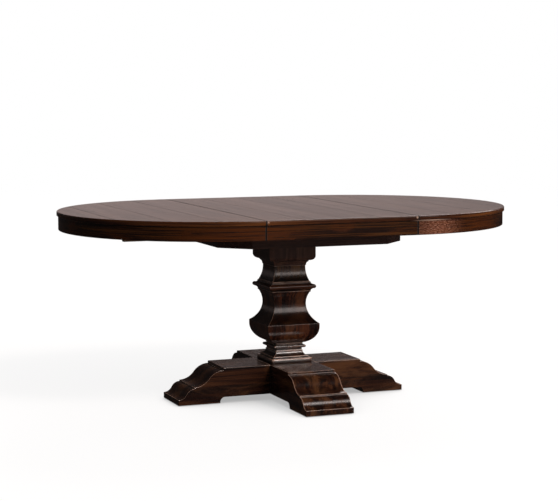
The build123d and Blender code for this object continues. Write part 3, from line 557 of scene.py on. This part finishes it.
def moulded_nylon():
    """Dull moulded nylon with a fine pebble and scuffed patches."""
    material, tree, shader = new_material("nylon")
    place = rest_place(tree)
    pebble = noise(tree, place, **NYLON_PEBBLE)
    scuff = noise(tree, place, **NYLON_WEAR)
    colour = blend(tree, span(tree, scuff, *NYLON_WINDOW), NYLON, NYLON_SCUFF)
    bump = add(tree, "ShaderNodeBump", {"Height": pebble, **NYLON_BUMP})
    plug(tree, shader.inputs["Base Color"], colour)
    plug(tree, shader.inputs["Roughness"], span(tree, scuff, *NYLON_ROUGHNESS))
    plug(tree, shader.inputs["Normal"], bump.outputs["Normal"])
    return material


def seen_directly(tree):
    """1 for rays that come from the camera, straight or through glass."""
    rays = add(tree, "ShaderNodeLightPath").outputs
    return compute(tree, "ADD", rays["Is Camera Ray"], rays["Is Transmission Ray"], clamp=True)


def studio_floor():
    """Pale floor that keeps the table's shadow, with a painted contact shadow near the table in what it
    shows; its far rim fades, and from below it is clear.
    """
    bpy.ops.mesh.primitive_circle_add(vertices=FLOOR_CORNERS, radius=FLOOR_RADIUS, fill_type="NGON")
    floor = bpy.context.object
    floor.name = "studio_floor"
    floor.visible_glossy = False
    material, tree, shader = new_material("studio_floor")
    shown = seen_directly(tree)
    place = rest_place(tree)
    # The floor's tone for light it throws back is painted lighter along aim, standing in for more light
    # falling there
    bounce = towards(tree, place, **BOUNCE)
    # Painted contact shadow: the emission that lifts the floor to white is dimmed where the table lies
    # close
    free = openness(tree, CONTACT_REACH, samples=CONTACT_SAMPLES)
    lift = span(tree, free, 0.0, 1.0, FLOOR_LIFT * (1 - CONTACT_SHADE), FLOOR_LIFT)
    fade = span(tree, distance(tree, place, ORIGIN), FLOOR_RADIUS, FLOOR_RADIUS * FLOOR_FADE)
    above = compute(tree, "SUBTRACT", 1.0, add(tree, "ShaderNodeNewGeometry").outputs["Backfacing"])
    plug(tree, shader.inputs["Base Color"], blend(tree, shown, bounce, grey(FLOOR_TONE)))
    shader.inputs["Roughness"].default_value = 1.0
    shader.inputs["Specular IOR Level"].default_value = 0.0
    shader.inputs["Emission Color"].default_value = grey(1.0)
    plug(tree, shader.inputs["Emission Strength"], compute(tree, "MULTIPLY", shown, lift))
    plug(tree, shader.inputs["Alpha"], both(tree, fade, above))
    dress(floor, material)


def studio_world():
    """White background; reflections show a dimmer band of it at the horizon, brightest at the back."""
    world = bpy.data.worlds.new("studio")
    bpy.context.scene.world = world
    world.use_nodes = True
    tree = world.node_tree
    direction = add(tree, "ShaderNodeTexCoord").outputs["Generated"]
    ambient = towards(tree, direction, **AMBIENT)
    around = compute(tree, "ADD", towards(tree, direction, **BEHIND), towards(tree, direction, **AHEAD))
    around = compute(tree, "ADD", around, towards(tree, direction, **GLARE))
    backdrop = both(tree, around, band(tree, dot(tree, direction, UP), HORIZON_RISE, HORIZON_FALL))
    reflected = add(tree, "ShaderNodeLightPath").outputs["Is Glossy Ray"]
    room = pick(tree, reflected, ambient, either(tree, backdrop, ROOM_LEVEL))
    background = tree.nodes["Background"]
    plug(tree, background.inputs["Strength"], pick(tree, seen_directly(tree), room, 1.0))
    plug(tree, background.inputs["Color"], blend(tree, reflected, grey(1.0), BACKDROP_TINT))


def soft_light(name, origin, strength, spread):
    """A soft light from one direction."""
    lamp = bpy.data.lights.new(name, "SUN")
    lamp.energy = strength
    lamp.angle = spread
    lamp.color = LIGHT_TINT
    light = bpy.data.objects.new(name, lamp)
    light.rotation_euler = Vector(origin).to_track_quat("Z", "Y").to_euler()
    bpy.context.scene.collection.objects.link(light)


def photo_camera():
    """The camera at the photograph's place and focal length."""
    camera = bpy.data.cameras.new("camera")
    camera.lens = FOCAL_PIXELS / IMAGE_WIDTH * SENSOR_WIDTH
    camera.sensor_width = SENSOR_WIDTH
    shot = bpy.data.objects.new("camera", camera)
    aim = Euler((pi / 2 - CAMERA_PITCH, 0, -CAMERA_YAW)).to_matrix() @ Matrix.Rotation(CAMERA_ROLL, 3, "Z")
    shot.location = CAMERA_PLACE
    shot.rotation_euler = aim.to_euler()
    bpy.context.scene.collection.objects.link(shot)
    bpy.context.scene.camera = shot
    bpy.context.scene.view_settings.view_transform = "Standard"


# Settings that several woods share
oiled = dict(gloss=(0.55, 0.7), amber=0.3)
sawn = dict(shine=0.65, streaky=0.3, amber=0.65, wear_and_highlight=0.65, edge=BEAM_EDGE, slope_shade=0.15)
turned = dict(shine=0.75, glaze_and_shade=DEEP_GLAZE_AND_SHADE_REACH, streaky=0.35)
beaded = dict(shine=1.0, gloss=(0.10, 0.16), glaze_and_shade=DEEP_GLAZE_AND_SHADE_REACH, streaky=0.35, wear_and_highlight=1.0)

steel = zinc_steel()
slide_wood = wood("slide_wood", grain_x, SLIDE_STAIN, **oiled)
upright_wood = wood("pedestal_wood_upright", grain_z, PEDESTAL_STAIN, wear_and_highlight=0.7, slope_shade=0.65, **turned)
board_wood = wood("board_wood", grain_board, TOP_STAIN, gloss=(0.15, 0.17), amber=0.3,
                  joints=True, rim=True)

# Finish of each node: the first of these words in its name decides
FINISHES = (
    ("screws", steel),
    ("tie_rod", steel),
    ("pins", steel),
    ("pinion", steel),
    ("rack_batten", wood("slide_wood_cross", grain_y, SLIDE_STAIN, **oiled)),
    ("rack", steel),
    ("rail", slide_wood),
    ("batten", slide_wood),
    ("dowels", upright_wood),
    ("glue_blocks", wood("slide_wood_rim", grain_rim, SLIDE_STAIN, **oiled)),
    ("glides", moulded_nylon()),
    ("plank", board_wood),
    ("apron", wood("apron_wood", grain_rim, APRON_STAIN, rim=True)),
    # The plate's lighter stain is painted light for the shade under the top
    ("plate", wood("plate_wood_lit", grain_x, PLATE_LIT_STAIN, amber=0.2, wear_and_highlight=0.4)),
    ("beam_long", wood("beam_wood_long", grain_x, BEAM_STAIN, **sawn)),
    ("beam_cross", wood("beam_wood_cross", grain_y, BEAM_STAIN, **sawn)),
    ("plinth", wood("plinth_wood", grain_level, PEDESTAL_STAIN, edge=ROUND_EDGE, **beaded)),
    ("lower_neck", wood("lower_neck_wood", grain_z, PEDESTAL_STAIN, edge=BEAD_EDGE, slope_shade=0.65, **beaded)),
    ("urn", upright_wood),
    ("ring", wood("pedestal_wood_level", grain_level, PEDESTAL_STAIN, wear_and_highlight=1.0, **turned)),
    ("upper_neck", wood("neck_wood", grain_z, NECK_STAIN, wear_and_highlight=0.7, slope_shade=0.95, **turned)),
    # The cap's lighter stain is painted light for the shade under the top
    ("cap_block", wood("cap_wood_lit", grain_z, CAP_LIT_STAIN, amber=0.2, wear_and_highlight=0.5, streaky=0.15)),
)
for name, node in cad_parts.items():
    dress(node, next(finish for word, finish in FINISHES if word in name))

studio_floor()
studio_world()
for name, light in LIGHTS.items():
    soft_light(name, **light)
photo_camera()
